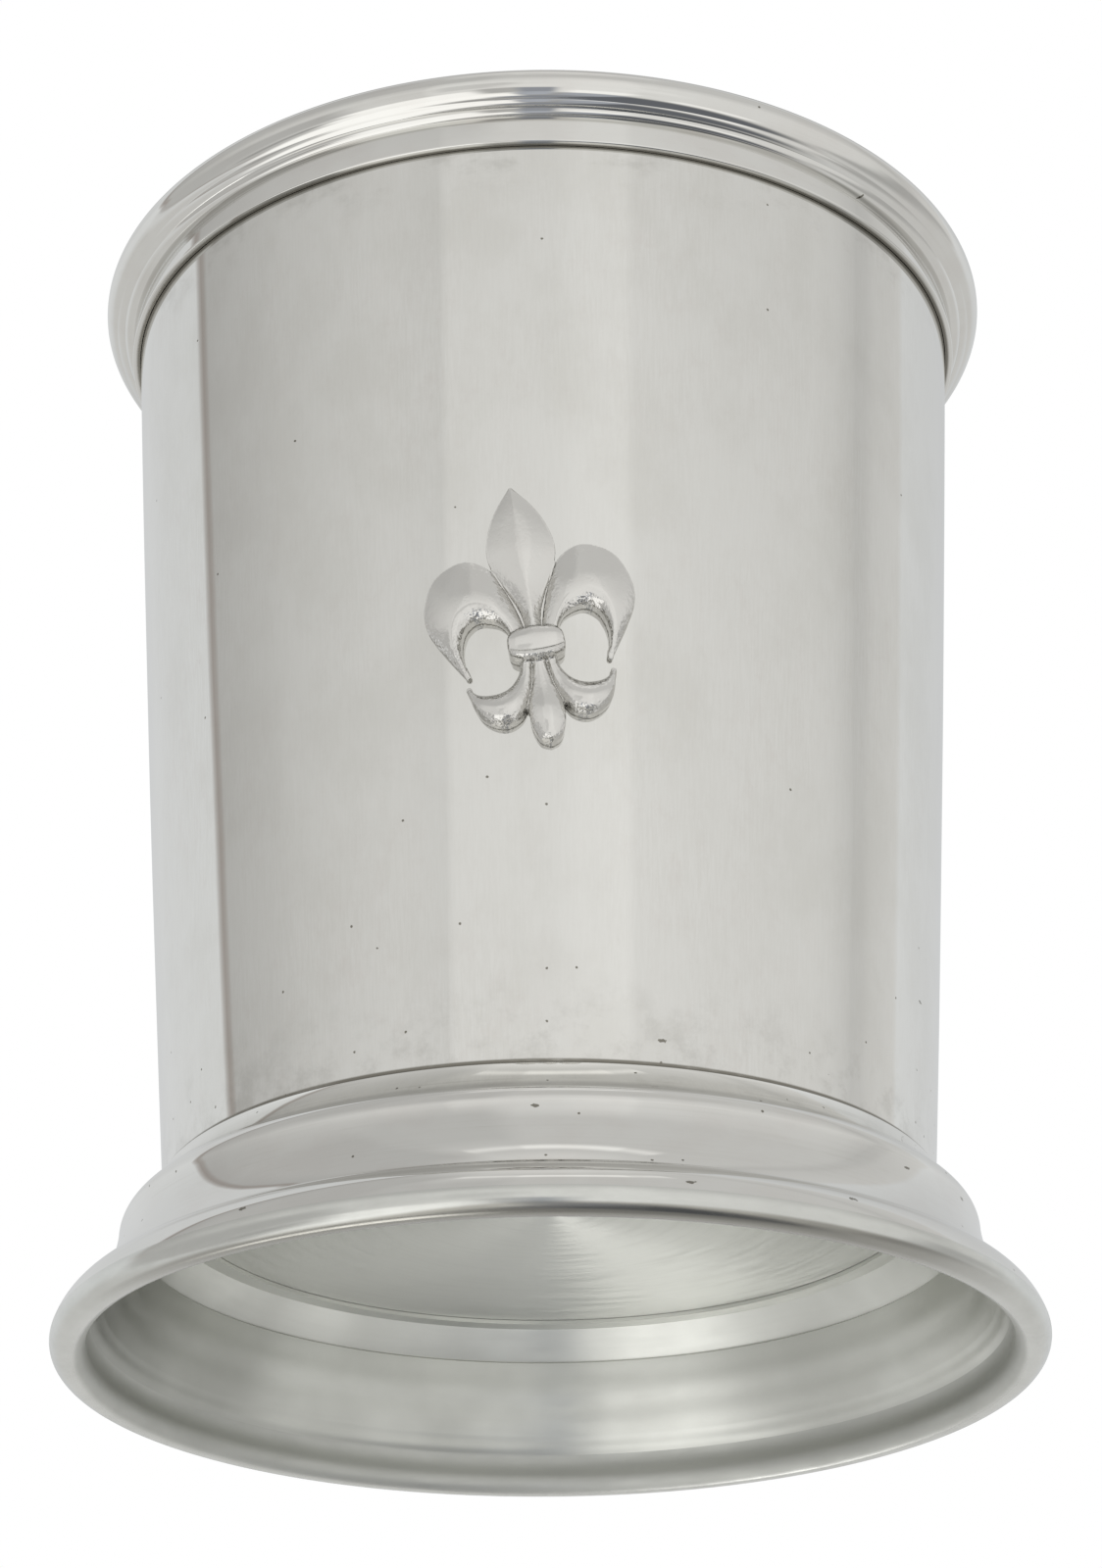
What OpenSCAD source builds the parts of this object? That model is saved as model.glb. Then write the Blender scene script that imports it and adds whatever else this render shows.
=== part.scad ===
// A julep cup: a tapered sheet body with a let-in bottom, a moulded rim band, a stepped and flared
// foot, and a cast fleur-de-lis on its front. Lengths are millimetres and angles are degrees.
// The cup stands on z = 0, its axis is Z and its front faces -Y.
// Outlines are lists of [radius, height], spun round the axis.

/* [Cup] */
// Height from the table to the top of the rim
cup_h = 101.6; // [94:0.2:112]
// Film of solder between two pieces
solder_gap = 0.05; // [0.03:0.01:0.1]

/* [Body] */
// Outside diameter of the body at its lower end
body_lower_d = 64.6; // [60:0.2:68]
// Outside diameter of the body at its upper end
body_upper_d = 75.2; // [70:0.2:80]
// Thickness of the body's wall
body_wall = 1.2; // [0.8:0.1:1.6]
// Outward bow of the body's side, halfway up
body_bow = 0.2; // [0:0.05:0.6]

/* [Bottom disc] */
// Thickness of the disc
disc_t = 1.4; // [1:0.1:2.4]
// Height of the disc's underside above the body's lower end
disc_recess = 0.05; // [0.05:0.05:0.8]

/* [Rim moulding] */
// Height of the moulding from its ledge to the top of the rim
rim_h = 6.2; // [5.8:0.1:7.5]
// How far the ledge under the moulding stands out from the body
rim_ledge_w = 0.73; // [0.5:0.01:1.2]
// Height of the flat band above the ledge
rim_band_h = 2; // [1.4:0.1:2.4]
// Diameter of the large roll
rim_roll_d = 3.16; // [2.6:0.02:3.4]
// How far the roll stands out from the body
rim_roll_w = 3; // [2.6:0.05:3.8]
// Swell of each fine bead
rim_bead_swell = 0.22; // [0.1:0.02:0.3]
// Depth of the moulding over the body's top edge
rim_cap_t = 1.2; // [1:0.1:1.6]

/* [Foot ring] */
// Outside diameter of the foot, over its rolled edge
foot_d = 82.1; // [79:0.1:90]
// Height of the seat that carries the body
foot_seat_z = 14; // [12.5:0.1:17]
// Width of the flange under the lower end of the body and the edge of the disc
foot_flange_w = 1.3; // [0.3:0.05:1.6]
// Thickness of that flange
foot_flange_t = 0.35; // [0.3:0.05:1]
// Height of the lip that laps round the body
foot_lip_h = 0.65; // [0.4:0.05:1.2]
// Thickness of the lip
foot_lip_t = 0.34; // [0.25:0.01:0.6]
// Thickness of the foot's wall, measured level
foot_wall = 1; // [0.8:0.05:1.4]
// Height of the straight slope below the lip
foot_slope_h = 2.65; // [2:0.05:3.2]
// Height of the rounded shoulder below the slope
foot_shoulder_h = 1.7; // [1.2:0.1:2.4]
// Height of the crease above the table
foot_edge_h = 4.9; // [4.2:0.1:5.6]
// Where the slope ends on the level way from the lip to the foot's edge
foot_slope_share = 0.265; // [0.2:0.005:0.32]
// Where the shoulder ends on that way
foot_shoulder_share = 0.367; // [0.34:0.001:0.42]
// Where the flare ends at the crease on that way
foot_crease_share = 0.585; // [0.5:0.005:0.64]
// Diameter of the rolled edge
foot_roll_d = 2.96; // [2.4:0.02:3.4]

/* [Fleur-de-lis badge] */
// Height of the ornament, from tip to tip
badge_h = 22.9; // [14:0.1:34]
// Width of the ornament over its side petals
badge_w = 16.6; // [10:0.1:24]
// Thickness of the ornament at its collar
badge_t = 1.9; // [1.2:0.1:2.6]
// Thickness of the ornament at its thin edges
badge_edge_t = 0.35; // [0.2:0.05:0.6]
// Height of the ornament's middle above the table
badge_z = 51.8; // [40:0.1:66]
// Distance of its middle from the cup's front line, measured round the body
badge_side = -1.1; // [-6:0.1:6]
// Lean of the ornament to the left
badge_lean = 8; // [-15:1:15]

/* [Hidden] */
$fn = 120;
polished = "#cbcac6";
satin = "#b9bab4";

// Steps along one bowed stretch of an outline, and degrees per step of a round one
bow_steps = 12;
arc_step = 9;
// Stations along each leaf of the ornament, and steps across it
leaf_stations = 16;
leaf_steps = 8;
// Sides of the round bars and tips of the ornament
ball_sides = 12;

// Small sizes of the rim
rim_edge_r = 0.15;
rim_lip_r = 0.8;
rim_band_lean = 0.15;

// Small sizes of the foot: the worn flat under its roll, the cove of its slope, the swell of its
// shoulder, the hollow of its flare outside and inside, the wall at its crease, how far its inner
// slope runs on below the outer one, and the ridge and groove at its bends
foot_worn = 0.04;
foot_cove = 0.1;
foot_swell = 0.25;
foot_hollow = 0.35;
foot_inner_hollow = 0.22;
foot_crease_wall = 0.8;
foot_inner_drop = 0.85;
foot_ridge = 0.25;
foot_groove = 0.15;

// Diameters of the ornament's rounded tips and of the rounded ends of its collar
badge_tip_d = 0.5;
collar_end_d = 0.8;

// Angles on the rolls, from level and outwards, positive upwards
foot_dome_angle = 18;
foot_inner_angle = 140;
rim_groove_angle = -84;

// The body: its height, and its outside radius at a height z
body_top_z = cup_h - rim_cap_t;
body_h = body_top_z - foot_seat_z;
function rise_share(z) = (z - foot_seat_z) / body_h;
function body_r(z) =
    body_lower_d / 2
    + (body_upper_d - body_lower_d) / 2 * rise_share(z)
    + 4 * body_bow * rise_share(z) * (1 - rise_share(z));

// A stretch from p to q that swells to its left by the given length (to its right if negative)
function bowed(p, q, swell) =
    let (along = (q - p) / norm(q - p), left = [-along[1], along[0]])
    [for (i = [0 : bow_steps]) let (t = i / bow_steps) p + (q - p) * t + left * swell * 4 * t * (1 - t)];

// A round stretch about centre c, from angle a to angle b
function round_arc(c, r, a, b) =
    let (steps = ceil(abs(b - a) / arc_step))
    [for (i = [0 : steps]) let (v = a + (b - a) * i / steps) c + r * [cos(v), sin(v)]];

// The points of the body's side between two heights, moved outwards by a clearance
function side_line(z0, z1, out) =
    [for (i = [0 : bow_steps]) let (z = z0 + (z1 - z0) * i / bow_steps) [body_r(z) + out, z]];

module spun(outline) {
    rotate_extrude() polygon(outline);
}

module body() {
    color(polished)
        spun(concat(
            side_line(foot_seat_z, body_top_z, 0),
            side_line(body_top_z, foot_seat_z, -body_wall)
        ));
}

module bottom_disc() {
    low_z = foot_seat_z + disc_recess;
    color(satin)
        spun(concat(
            [[0, low_z]],
            side_line(low_z, low_z + disc_t, -body_wall - solder_gap),
            [[0, low_z + disc_t]]
        ));
}

module rim_moulding() {
    ledge_z = cup_h - rim_h;
    ledge_r = body_r(ledge_z) + rim_ledge_w;
    band_top = [ledge_r + rim_band_lean, ledge_z + rim_band_h];
    roll_r = rim_roll_d / 2;
    roll_c = [body_r(cup_h - roll_r) + rim_roll_w - roll_r, cup_h - roll_r];
    roll_foot = roll_c + roll_r * [cos(rim_groove_angle), sin(rim_groove_angle)];
    bead_split = (band_top + roll_foot) / 2;
    seat_z = body_top_z + solder_gap;
    mouth_r = body_r(body_top_z) - body_wall;
    color(polished)
        spun(concat(
            round_arc([ledge_r - rim_edge_r, ledge_z + rim_edge_r], rim_edge_r, -90, 0),
            bowed(band_top, bead_split, -rim_bead_swell),
            bowed(bead_split, roll_foot, -rim_bead_swell),
            round_arc(roll_c, roll_r, rim_groove_angle, 90),
            round_arc([mouth_r + rim_lip_r, cup_h - rim_lip_r], rim_lip_r, 90, 180),
            [[mouth_r, seat_z]],
            side_line(seat_z, ledge_z, solder_gap)
        ));
}

module foot_ring() {
    // Outside, from the lip down to the rolled edge
    lip_z = foot_seat_z + foot_lip_h;
    lip_bore_r = body_r(lip_z) + solder_gap;
    lip = [lip_bore_r + foot_lip_t, lip_z];
    way_out = foot_d / 2 - lip[0];
    slope_end = lip + [way_out * foot_slope_share, -foot_slope_h];
    shoulder_end = [lip[0] + way_out * foot_shoulder_share, slope_end[1] - foot_shoulder_h];
    crease = [lip[0] + way_out * foot_crease_share, foot_edge_h];
    roll_r = foot_roll_d / 2;
    roll_c = [foot_d / 2 - roll_r, roll_r - foot_worn];
    dome_end = roll_c + roll_r * [cos(foot_dome_angle), sin(foot_dome_angle)];
    roll_inside = roll_c + roll_r * [cos(foot_inner_angle), sin(foot_inner_angle)];
    worn_angle = asin(roll_c[1] / roll_r);

    // The dome runs into the roll without a corner
    dome = dome_end - crease;
    dome_swell = norm(dome) / 4 * tan(atan2(dome[1], dome[0]) + 90 - foot_dome_angle);

    // Inside, the slope and the flare follow the outer ones, with a small ridge between them
    flange_z = foot_seat_z - foot_flange_t;
    steepness = (slope_end[0] - lip[0]) / foot_slope_h;
    inner_slope_top = [lip[0] + (lip_z - flange_z) * steepness - foot_wall, flange_z];
    inner_slope_end = slope_end + [foot_inner_drop * steepness - foot_wall, -foot_inner_drop];
    ridge_end = inner_slope_end - [foot_ridge, foot_ridge];
    inner_crease = crease - [foot_crease_wall, 0];
    flange_r = body_r(foot_seat_z) - foot_flange_w;

    color(polished)
        spun(concat(
            bowed(lip, slope_end, -foot_cove),
            bowed(slope_end, shoulder_end, foot_swell),
            bowed(shoulder_end, crease + [0, foot_groove], -foot_hollow),
            [crease - [foot_groove, 0]],
            bowed(crease, dome_end, dome_swell),
            round_arc(roll_c, roll_r, foot_dome_angle, -worn_angle),
            round_arc(roll_c, roll_r, worn_angle - 180, foot_inner_angle - 360),
            bowed(roll_inside, inner_crease, foot_inner_hollow / 4),
            bowed(inner_crease, ridge_end, foot_inner_hollow),
            [inner_slope_end, inner_slope_top, [flange_r, flange_z], [flange_r, foot_seat_z]],
            [[body_r(foot_seat_z) + solder_gap, foot_seat_z], [lip_bore_r, lip_z]]
        ));
}

// The ornament is made of leaves. A leaf is lofted between two edges, each a smooth curve through a
// few points. Points are shares of the ornament's size: across is 0 on its middle line and a half at
// its side, and up runs from 0 at the bottom tip to 1 at the top tip. A leaf's crest runs between its
// edges, and its height along the leaf is given as shares of the ornament's thickness.

// A smooth curve through points, for t from 0 to 1
function curve(points, t) =
    let (
        last = len(points) - 1,
        i = min(floor(t * last), last - 1),
        f = t * last - i,
        a = points[max(i - 1, 0)],
        b = points[i],
        c = points[i + 1],
        d = points[min(i + 2, last)]
    )
    b + (f * (c - a) + f * f * (2 * a - 5 * b + 4 * c - d) + f * f * f * (3 * b - a - 3 * c + d)) / 2;

// A place on the body: shares across and up the leaning ornament, and a height out of the body
function on_body(place_share, out) =
    let (
        across = place_share[0] * badge_w,
        up = (place_share[1] - 0.5) * badge_h,
        z = badge_z + across * sin(badge_lean) + up * cos(badge_lean),
        round = badge_side + across * cos(badge_lean) - up * sin(badge_lean),
        angle = round / body_r(badge_z) * 180 / PI - 90,
        r = body_r(z) + solder_gap + out
    )
    [r * cos(angle), r * sin(angle), z];

// edge_shares: the two edge curves. crest_share: where the crest lies between them. powers: how each
// flank falls from the crest, where 2 is rounded, 1 is straight and less is scooped. side: 1 as
// given, and -1 for its mirror image on the left.
module leaf(edge_shares, relief_shares, crest_share = 0.5, powers = [2, 2], side = 1) {
    half = leaf_steps / 2;
    ring_size = 2 * (leaf_steps + 1);
    function place(t, k) =
        let (
            s = k < 0 ? crest_share * (1 + k) : crest_share + (1 - crest_share) * k,
            p = curve(edge_shares[0], t) * (1 - s) + curve(edge_shares[1], t) * s
        )
        [side * p[0], p[1]];
    function relief(t, k) =
        let (fall = 1 - pow(abs(k), powers[k < 0 ? 0 : 1]))
        badge_edge_t + (curve(relief_shares, t) * badge_t - badge_edge_t) * fall;
    function ring(t) = concat(
        [for (j = [0 : leaf_steps]) let (k = j / half - 1) on_body(place(t, k), relief(t, k))],
        [for (j = [leaf_steps : -1 : 0]) on_body(place(t, j / half - 1), 0)]
    );
    along = place(1 / 2 + 1 / leaf_stations, -1) - place(1 / 2, -1);
    faces_out = cross(along, place(1 / 2, 1) - place(1 / 2, -1)) < 0;
    function face(corners) = faces_out ? corners : [for (i = [len(corners) - 1 : -1 : 0]) corners[i]];
    function corner(i, j) = i * ring_size + j % ring_size;
    polyhedron(
        points = [for (i = [0 : leaf_stations]) each ring(i / leaf_stations)],
        faces = concat(
            [for (i = [0 : leaf_stations - 1]) for (j = [0 : ring_size - 1]) each [
                face([corner(i, j), corner(i + 1, j), corner(i + 1, j + 1)]),
                face([corner(i, j), corner(i + 1, j + 1), corner(i, j + 1)])
            ]],
            [face([for (j = [0 : ring_size - 1]) corner(0, j)])],
            [face([for (j = [ring_size - 1 : -1 : 0]) corner(leaf_stations, j)])]
        ),
        convexity = 6
    );
}

// A round bar through places on the ornament, its middle at a height over the body
module bar(place_shares, bar_d, over_body) {
    for (i = [0 : len(place_shares) - 2])
        hull()
            for (place = [place_shares[i], place_shares[i + 1]])
                translate(on_body(place, over_body)) sphere(d = bar_d, $fn = ball_sides);
}

// The rounded tip of a leaf
module tip(tip_share, root_share) {
    bar([tip_share, root_share], badge_tip_d, badge_tip_d / 2);
}

function mirrored(shares) = [for (p = shares) [-p[0], p[1]]];

module centre_petal() {
    side_shares = [
        [0.036, 0.41], [0.036, 0.48], [0.06, 0.544], [0.104, 0.613], [0.15, 0.687],
        [0.163, 0.757], [0.133, 0.848], [0.08, 0.925], [0.008, 0.995]
    ];
    relief_shares = [0.6, 0.6, 0.62, 0.66, 0.7, 0.7, 0.6, 0.45, 0.25];
    leaf([mirrored(side_shares), side_shares], relief_shares, powers = [1.5, 1.5]);
    tip([0, 0.988], [0, 0.96]);
}

module side_petal(side) {
    outer_shares = [
        [0.036, 0.43], [0.066, 0.512], [0.108, 0.603], [0.169, 0.694], [0.285, 0.739],
        [0.428, 0.696], [0.498, 0.596], [0.5, 0.504], [0.446, 0.415], [0.356, 0.305]
    ];
    inner_shares = [
        [0.114, 0.41], [0.12, 0.435], [0.139, 0.463], [0.175, 0.487], [0.253, 0.504],
        [0.313, 0.482], [0.343, 0.444], [0.355, 0.402], [0.352, 0.36], [0.34, 0.311]
    ];
    relief_shares = [0.5, 0.5, 0.55, 0.65, 0.75, 0.78, 0.72, 0.6, 0.42, 0.2];
    leaf([outer_shares, inner_shares], relief_shares, 0.78, [2, 0.8], side);
    tip([side * 0.345, 0.307], [side * 0.356, 0.34]);
}

module collar() {
    top_shares = [[-0.12, 0.42], [-0.075, 0.436], [0, 0.441], [0.075, 0.436], [0.12, 0.42]];
    low_shares = [[-0.12, 0.355], [-0.075, 0.343], [0, 0.338], [0.075, 0.343], [0.12, 0.355]];
    end_shares = [[0.117, 0.405], [0.117, 0.37]];
    leaf([top_shares, low_shares], [0.65, 0.92, 1, 0.92, 0.65], powers = [2.5, 2.5]);
    bar(end_shares, collar_end_d, collar_end_d / 2);
    bar(mirrored(end_shares), collar_end_d, collar_end_d / 2);
}

module drop() {
    side_shares = [
        [0.03, 0.368], [0.033, 0.301], [0.048, 0.233], [0.072, 0.178],
        [0.084, 0.123], [0.078, 0.069], [0.051, 0.022], [0.009, 0.004]
    ];
    relief_shares = [0.6, 0.55, 0.6, 0.7, 0.8, 0.8, 0.65, 0.3];
    leaf([mirrored(side_shares), side_shares], relief_shares);
    tip([0, 0.012], [0, 0.05]);
}

module lower_curl(side) {
    outer_shares = [
        [0.03, 0.377], [0.036, 0.301], [0.057, 0.208], [0.114, 0.119],
        [0.205, 0.092], [0.295, 0.123], [0.34, 0.183], [0.358, 0.25]
    ];
    inner_shares = [
        [0.09, 0.377], [0.096, 0.297], [0.127, 0.254], [0.169, 0.225],
        [0.217, 0.214], [0.271, 0.218], [0.313, 0.233], [0.346, 0.26]
    ];
    leaf([outer_shares, inner_shares], [0.5, 0.52, 0.6, 0.75, 0.8, 0.7, 0.5, 0.25], 0.45, side = side);
    tip([side * 0.351, 0.258], [side * 0.342, 0.23]);
}

module fleur_de_lis_badge() {
    color(polished) {
        centre_petal();
        collar();
        drop();
        for (side = [-1, 1]) {
            side_petal(side);
            lower_curl(side);
        }
    }
}

body();
bottom_disc();
rim_moulding();
foot_ring();
fleur_de_lis_badge();
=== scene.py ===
import math

import bmesh
import bpy
import numpy as np
from mathutils import Matrix, Vector


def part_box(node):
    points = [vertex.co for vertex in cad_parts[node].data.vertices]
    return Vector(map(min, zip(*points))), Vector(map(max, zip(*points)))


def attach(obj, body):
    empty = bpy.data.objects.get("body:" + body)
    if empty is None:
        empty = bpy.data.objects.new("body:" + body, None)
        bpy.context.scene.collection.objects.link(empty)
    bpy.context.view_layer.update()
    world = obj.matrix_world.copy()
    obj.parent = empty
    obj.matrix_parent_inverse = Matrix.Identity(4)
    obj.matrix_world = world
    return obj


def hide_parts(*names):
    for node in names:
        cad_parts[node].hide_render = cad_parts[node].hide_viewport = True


MM = 0.001
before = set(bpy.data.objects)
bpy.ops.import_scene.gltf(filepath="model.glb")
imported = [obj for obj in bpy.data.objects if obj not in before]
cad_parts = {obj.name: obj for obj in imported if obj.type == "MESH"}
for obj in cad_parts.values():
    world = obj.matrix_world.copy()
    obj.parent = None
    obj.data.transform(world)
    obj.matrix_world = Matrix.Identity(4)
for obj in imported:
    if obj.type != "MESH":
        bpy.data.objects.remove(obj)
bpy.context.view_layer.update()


def box_mm(node):
    """The low and the high corner of a CAD node's box."""
    low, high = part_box(node)
    return np.array(low) / MM, np.array(high) / MM


# Driving sizes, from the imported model
RIM_LOW, RIM_HIGH = box_mm("rim_moulding")
BODY_LOW, BODY_HIGH = box_mm("body")
DISC_LOW, DISC_HIGH = box_mm("bottom_disc")
FOOT_HIGH = box_mm("foot_ring")[1]
CUP_H = RIM_HIGH[2]
SEAT_Z = BODY_LOW[2]
BODY_TOP_Z = BODY_HIGH[2]
BODY_UPPER_D = BODY_HIGH[0] * 2
DISC_Z = DISC_LOW[2]
DISC_TOP_Z = DISC_HIGH[2]
FOOT_D = FOOT_HIGH[0] * 2
LEDGE_Z = RIM_LOW[2]
LIP_Z = FOOT_HIGH[2]

# Sizes that no box gives
SOLDER_GAP = 0.05
BODY_LOWER_D = 64.6
BODY_WALL = 1.2
BODY_BOW = 0.2
RIM_LEDGE_W = 0.73
RIM_BAND_H = 2.28
RIM_ROLL_D = 3.16
RIM_BEAD_SWELLS = (0.135, 0.06)
RIM_BEAD_SPLIT_SHARE = 0.465
RIM_EDGE_R = 0.15
RIM_LIP_R = 0.8
RIM_GROOVE_ANGLE = -68
FOOT_FLANGE_W = 1.3
FOOT_FLANGE_T = 0.35
FOOT_LIP_T = 0.34
FOOT_WALL = 1.0
FOOT_SLOPE_H = 2.65
FOOT_SHOULDER_H = 1.7
FOOT_EDGE_H = 4.9
FOOT_STEP_SHARES = (0.265, 0.367, 0.585)
FOOT_ROLL_D = 2.96
FOOT_WORN = 0.04
FOOT_COVE = 0.1
FOOT_SWELL = 0.25
FOOT_HOLLOW = 0.35
FOOT_INNER_HOLLOW = 0.22
FOOT_CREASE_WALL = 0.8
FOOT_INNER_DROP = 0.85
FOOT_RIDGE = 0.12
FOOT_GROOVE = 0.1
FOOT_DOME_ANGLE = 18
FOOT_INNER_ANGLE = 140
FOOT_FILLET_ANGLE = 172
FOOT_FILLET_W = 1.1
FOOT_RIPPLE = 0.045

# Fineness of the spun meshes
TURN_STEPS = 512
WALL_STEPS = 96
DISC_RINGS = 40
BOW_STEPS = 20
ARC_STEP = 5
RIPPLE_STEPS = 28
FILLET_STEPS = 8
SHARP_ANGLE = 24

# Points of an outline that are closer than this are one, and one this close to the axis is on it
SAME_POINT = 1e-4
ON_AXIS = 1e-6

# The hand-worked body is true to this much. Its waves are given as (waves round the cup, climb,
# start), where the climb is how far a wave's phase shifts over this height, in radians.
WAVE_DEPTH = 0.008
WAVE_CLIMB_H = 22.0
BODY_WAVES = [(3, 2, 0), (7, -4, 1), (12, 5, 2)]


def body_r(z):
    """The body's outside radius at a height."""
    share = (z - SEAT_Z) / (BODY_TOP_Z - SEAT_Z)
    bow = 4 * BODY_BOW * share * (1 - share)
    return BODY_LOWER_D / 2 + (BODY_UPPER_D - BODY_LOWER_D) / 2 * share + bow


# Outlines: lists of [radius, height] points, in stretches that each have a finish


def direction(start, end):
    """The unit vector from start to end, and the one to its left."""
    along = (end - start) / np.linalg.norm(end - start)
    return along, np.array([-along[1], along[0]])


def bowed(start, end, swell, steps=BOW_STEPS):
    """A line that swells to its left by the given length."""
    start, end = np.array(start, float), np.array(end, float)
    left = direction(start, end)[1]
    shares = np.linspace(0, 1, steps + 1)[:, None]
    return start + (end - start) * shares + left * swell * 4 * shares * (1 - shares)


def rippled(start, end, swell, ripples):
    """A bowed line with shallow turning marks, that fade out at both ends."""
    line = bowed(start, end, swell, RIPPLE_STEPS)
    left = direction(line[0], line[-1])[1]
    shares = np.linspace(0, 1, len(line))[:, None]
    waves = np.sin(2 * math.pi * ripples * shares) * np.sin(math.pi * shares)
    return line + left * FOOT_RIPPLE * waves


def eased(start, corner, end):
    """A curve from start to end that rounds off the corner."""
    shares = np.linspace(0, 1, FILLET_STEPS + 1)[:, None]
    return start * (1 - shares) ** 2 + corner * 2 * shares * (1 - shares) + end * shares**2


def on_circle(centre, radius, angle):
    turn = math.radians(angle)
    return np.array(centre) + radius * np.array([math.cos(turn), math.sin(turn)])


def round_arc(centre, radius, first, last):
    steps = max(2, math.ceil(abs(last - first) / ARC_STEP))
    return np.array([on_circle(centre, radius, angle) for angle in np.linspace(first, last, steps + 1)])


def side_line(low, high, out, steps=BOW_STEPS):
    """The body's side between two heights, moved outwards."""
    return np.array([[body_r(z) + out, z] for z in np.linspace(low, high, steps + 1)])


def wave_at(angle, height):
    """A slow, seamless unevenness between about -1 and 1."""
    climbed = height / WAVE_CLIMB_H
    waves = [math.sin(count * angle + climb * climbed + start) for count, climb, start in BODY_WAVES]
    return sum(waves) / len(waves)


# Spun pieces


def outline_of(stretches):
    """The points of an outline and the finish of each, with no point twice."""
    points, finishes = [], []
    for stretch, finish in stretches:
        for point in stretch:
            if not points or np.linalg.norm(np.array(point) - points[-1]) > SAME_POINT:
                points.append(np.array(point, float))
                finishes.append(finish)
    if np.linalg.norm(points[0] - points[-1]) < SAME_POINT:
        points.pop()
        finishes.pop()
    return points, finishes


def ring_of(model, radius, height, wave_depth):
    """The vertices round the axis at a point of the outline. On the axis they are all the same one."""
    if radius < ON_AXIS:
        return [model.verts.new((0, 0, height * MM))] * TURN_STEPS
    ring = []
    for turn in range(TURN_STEPS):
        angle = 2 * math.pi * turn / TURN_STEPS
        wave = wave_depth * wave_at(angle, height)
        x, y = (radius + wave) * math.cos(angle), (radius + wave) * math.sin(angle)
        ring.append(model.verts.new((x * MM, y * MM, height * MM)))
    return ring


def bend_at(points, i):
    """By how many degrees the outline bends at a point."""
    before, after = points[i] - points[i - 1], points[(i + 1) % len(points)] - points[i]
    return abs(math.degrees(math.atan2(before[0] * after[1] - before[1] * after[0], before @ after)))


def spun(name, stretches, wave_depth=0.0):
    """A mesh spun round the axis from stretches of (points, material index)."""
    points, finishes = outline_of(stretches)
    model = bmesh.new()
    rings = [ring_of(model, radius, height, wave_depth) for radius, height in points]
    for i, low in enumerate(rings):
        following = (i + 1) % len(rings)
        high = rings[following]
        if low[0] is low[1] and high[0] is high[1]:
            continue
        for turn in range(TURN_STEPS):
            after = (turn + 1) % TURN_STEPS
            corners = [low[turn], low[after], high[after], high[turn]]
            face = model.faces.new(list(dict.fromkeys(corners)))
            face.smooth = True
            face.material_index = finishes[following]
    model.edges.ensure_lookup_table()
    for i, ring in enumerate(rings):
        if bend_at(points, i) > SHARP_ANGLE and points[i][0] > ON_AXIS:
            for turn in range(TURN_STEPS):
                model.edges.get((ring[turn], ring[(turn + 1) % TURN_STEPS])).smooth = False
    bmesh.ops.recalc_face_normals(model, faces=model.faces)
    return new_object(name, model)


def new_object(name, model):
    mesh = bpy.data.meshes.new(name)
    model.to_mesh(mesh)
    model.free()
    piece = bpy.data.objects.new(name, mesh)
    bpy.context.scene.collection.objects.link(piece)
    return piece


def finish_piece(piece, node, slot, *materials):
    """Gives a piece its materials, hangs it under the root body, and hides the CAD node that it stands in
    for.
    slot: not used.
    """
    for material in materials:
        piece.data.materials.append(material)
    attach(piece, "root")
    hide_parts(node)


def make_body():
    return spun("cup_body", [
        (side_line(SEAT_Z, BODY_TOP_Z, 0, WALL_STEPS), 0),
        (side_line(BODY_TOP_Z, SEAT_Z, -BODY_WALL, WALL_STEPS), 1),
    ], WAVE_DEPTH)


def make_disc():
    radius = body_r(DISC_Z) - BODY_WALL - SOLDER_GAP
    underside = [[radius * share, DISC_Z] for share in np.linspace(0, 1, DISC_RINGS)]
    top = [[radius * share, DISC_TOP_Z] for share in np.linspace(1, 0, DISC_RINGS)]
    return spun("cup_bottom", [(underside, 0), (top, 1)])


def make_rim():
    ledge_r = body_r(LEDGE_Z) + RIM_LEDGE_W
    band_top = np.array([ledge_r, LEDGE_Z + RIM_BAND_H])
    roll_r = RIM_ROLL_D / 2
    roll_c = np.array([RIM_HIGH[0] - roll_r, CUP_H - roll_r])
    roll_foot = on_circle(roll_c, roll_r, RIM_GROOVE_ANGLE)
    bead_split = roll_foot + (band_top - roll_foot) * RIM_BEAD_SPLIT_SHARE
    seat_z = BODY_TOP_Z + SOLDER_GAP
    mouth_r = body_r(BODY_TOP_Z) - BODY_WALL
    return spun("rim_band", [
        (round_arc([ledge_r - RIM_EDGE_R, LEDGE_Z + RIM_EDGE_R], RIM_EDGE_R, -90, 0), 0),
        (bowed(band_top, bead_split, -RIM_BEAD_SWELLS[0]), 0),
        (bowed(bead_split, roll_foot, -RIM_BEAD_SWELLS[1]), 0),
        (round_arc(roll_c, roll_r, RIM_GROOVE_ANGLE, 90), 0),
        (round_arc([mouth_r + RIM_LIP_R, CUP_H - RIM_LIP_R], RIM_LIP_R, 90, 180), 0),
        ([[mouth_r, seat_z]], 0),
        (side_line(seat_z, LEDGE_Z, SOLDER_GAP), 0),
    ])


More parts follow.
